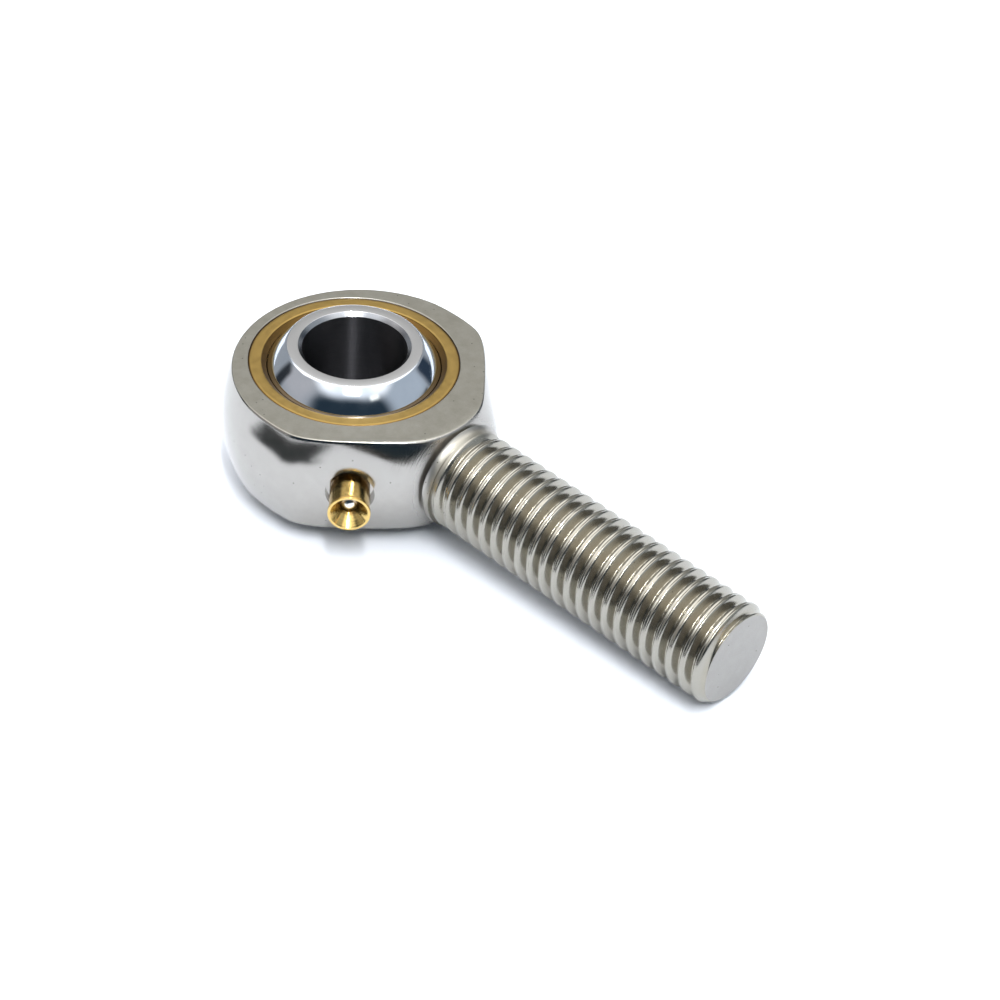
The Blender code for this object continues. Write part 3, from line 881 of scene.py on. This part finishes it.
def make_board():
    """A wedge-shaped board whose dark felt fades out along its edges."""
    far_left = BOARD_LEFT - BOARD_LEFT_SPREAD * BOARD_LENGTH
    far_right = BOARD_RIGHT + BOARD_RIGHT_SPREAD * BOARD_LENGTH
    far = BOARD_NEAR - BOARD_LENGTH
    corners = [
        (far_left, far, 0),
        (far_right, far, 0),
        (BOARD_RIGHT, BOARD_NEAR, 0),
        (BOARD_LEFT, BOARD_NEAR, 0),
    ]
    board = object_from("black_board", corners, [(0, 1, 2, 3)])
    board.rotation_euler = (0, -FLOOR_TILT, 0)
    board.location = (REST_X, 0, REST_Z + BOARD_HEIGHT)
    board.visible_camera = False
    board.visible_diffuse = False
    board.visible_shadow = False
    material, tree, shader, place, (x, y, _) = start_material("black_felt", metallic=0.0)
    shader.inputs["Roughness"].default_value = 1.0
    felt = grain(tree, place, 0.5, 3.0)
    dark, less_dark = colour(0.010, 0.014, 0.018), colour(0.022, 0.026, 0.030)
    tree.links.new(blend(tree, felt, dark, less_dark), shader.inputs["Base Color"])
    depth = calc(tree, "SUBTRACT", BOARD_NEAR / MM, y)
    inside = depth
    sides = ((1, BOARD_LEFT, BOARD_LEFT_SPREAD), (-1, BOARD_RIGHT, BOARD_RIGHT_SPREAD))
    for sign, edge, spread in sides:
        gap = calc(tree, "MULTIPLY", calc(tree, "SUBTRACT", x, edge / MM), sign)
        gap = calc(tree, "ADD", gap, calc(tree, "MULTIPLY", depth, spread))
        inside = calc(tree, "MINIMUM", inside, calc(tree, "DIVIDE", gap, math.hypot(1, spread)))
    ragged = calc(tree, "MULTIPLY", grain(tree, place, 0.12, 2.0), BOARD_FADE)
    alpha = ramp(tree, calc(tree, "SUBTRACT", inside, ragged), 0.0, BOARD_FADE)
    tree.links.new(alpha, shader.inputs["Alpha"])
    board.data.materials.append(material)


def heading(azimuth, elevation):
    """A direction: azimuth counts from +X towards +Y, elevation from the horizontal, in degrees."""
    a, e = math.radians(azimuth), math.radians(elevation)
    return Vector((math.cos(a) * math.cos(e), math.sin(a) * math.cos(e), math.sin(e)))


def patch_of_sky(tree, direction, behind, azimuth, elevation, width, height, soft, tint):
    """Paints one soft-edged rectangle of the surroundings.

    Its middle, its size and its edge's softness are in degrees, and its light is a colour.
    """
    out = heading(azimuth, elevation)
    side = Vector((-math.sin(math.radians(azimuth)), math.cos(math.radians(azimuth)), 0))
    up = out.cross(side)

    def dot(axis):
        made = add(tree, "ShaderNodeVectorMath", ((0, direction), (1, axis)), operation="DOT_PRODUCT")
        return made.outputs["Value"]

    ahead = dot(out)
    share = ramp(tree, ahead, 0.0, 0.05)
    for axis, size in ((side, width), (up, height)):
        offset = calc(tree, "DIVIDE", dot(axis), calc(tree, "MAXIMUM", ahead, 0.001))
        offset = calc(tree, "ABSOLUTE", offset)
        edge, end = (math.tan(math.radians((size + change) / 2)) for change in (-soft, soft))
        share = calc(tree, "MULTIPLY", share, ramp(tree, offset, end, edge))
    return blend(tree, share, behind, colour(*tint))


# The surroundings, painted one over another: azimuth, elevation, width, height, softness and light.
ROOM = (0.46, 0.48, 0.50)
SURROUNDINGS = (
    (-45, 12, 100, 70, 20, (0.03, 0.05, 0.07)),
    (-132, 30, 42, 40, 20, (0.66, 0.64, 0.64)),
    (36, 26, 54, 40, 20, (0.62, 0.68, 0.74)),
    (76, 8, 22, 28, 10, (0.04, 0.06, 0.09)),
    (-154, 8, 14, 28, 8, (0.04, 0.045, 0.05)),
    (5, 2, 110, 18, 6, (0.06, 0.055, 0.045)),
    (16, 9, 10, 7, 6, (2.2, 1.6, 0.9)),
    (131, 40, 60, 60, 20, (0.48, 0.48, 0.47)),
    (-45, 90, 76, 76, 24, (2.7, 2.7, 2.7)),
    (-46, 61, 46, 28, 22, (1.5, 1.55, 1.6)),
    (-47, 52, 16, 8, 8, (6.0, 6.0, 6.0)),
    (-37, 63, 2.5, 30, 1.5, (85.0, 85.0, 85.0)),
    (-12, 41, 10, 5, 5, (2.2, 2.2, 2.0)),
    (-152, 50, 30, 24, 8, (2.6, 2.5, 2.4)),
)


def make_world():
    world = bpy.data.worlds.new("studio")
    world.use_nodes = True
    bpy.context.scene.world = world
    tree = world.node_tree
    direction = add(tree, "ShaderNodeTexCoord").outputs["Generated"]
    total = add(tree, "ShaderNodeRGB").outputs[0]
    total.default_value = colour(*ROOM)
    for patch in SURROUNDINGS:
        total = patch_of_sky(tree, direction, total, *patch)
    tree.links.new(total, tree.nodes["Background"].inputs["Color"])


# Camera: where it looks, from which side and height, how far it is rolled, and its lens.
CAMERA_AIM = Vector((19.55, 0.1, 0)) * MM
CAMERA_DISTANCE = 223.6 * MM
CAMERA_AZIMUTH = -49.32
CAMERA_ELEVATION = 40.21
CAMERA_ROLL = 4.69
CAMERA_LENS = 86.99
CAMERA_SENSOR = 36.0
CAMERA_CLIP_START = 10 * MM


def make_camera():
    data = bpy.data.cameras.new("camera")
    data.lens = CAMERA_LENS
    data.sensor_width = CAMERA_SENSOR
    data.clip_start = CAMERA_CLIP_START
    camera = bpy.data.objects.new("camera", data)
    bpy.context.scene.collection.objects.link(camera)
    back = heading(CAMERA_AZIMUTH, CAMERA_ELEVATION)
    turn = back.to_track_quat("Z", "Y").to_matrix().to_4x4()
    camera.matrix_world = (
        Matrix.Translation(CAMERA_AIM + back * CAMERA_DISTANCE)
        @ turn
        @ Matrix.Rotation(math.radians(CAMERA_ROLL), 4, "Z")
    )
    bpy.context.scene.camera = camera


# ---------------------------------------------------------------- assembly

def place(item, material, slot, body, node):
    """Gives a finished piece its material and its body, and hides the CAD node it stands for."""
    item.data.materials.clear()
    item.data.materials.append(material)
    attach(item, body)
    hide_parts(node)


place(make_housing(), nickel_steel(), "nickel_plated_steel", "housing", "housing")
place(make_race(), race_brass(), "race_brass", "housing", "race")
place(make_grease_film(), amber_grease(), "grease", "grease_film", "grease_film")
ball = make_ball()
place(ball, ball_steel(), "bearing_steel", "ball", "ball")
ball.data.materials.append(honed_steel())
for face in ball.data.polygons:
    if math.hypot(*face.center[:2]) < BORE_RADIUS + BORE_MARGIN:
        face.material_index = 1
place(make_nipple(), nipple_brass(), "nipple_brass", "housing", "grease_nipple")
place(make_check_ball(), check_ball_steel(), "check_ball_steel", "check_ball", "nipple_check_ball")
spring = make_spring()
place(spring, spring_steel(), "spring_steel", "housing", "nipple_spring")
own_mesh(spring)
make_floor()
make_backdrop()
make_board()
make_world()
make_camera()
bpy.context.scene.view_settings.view_transform = "Standard"
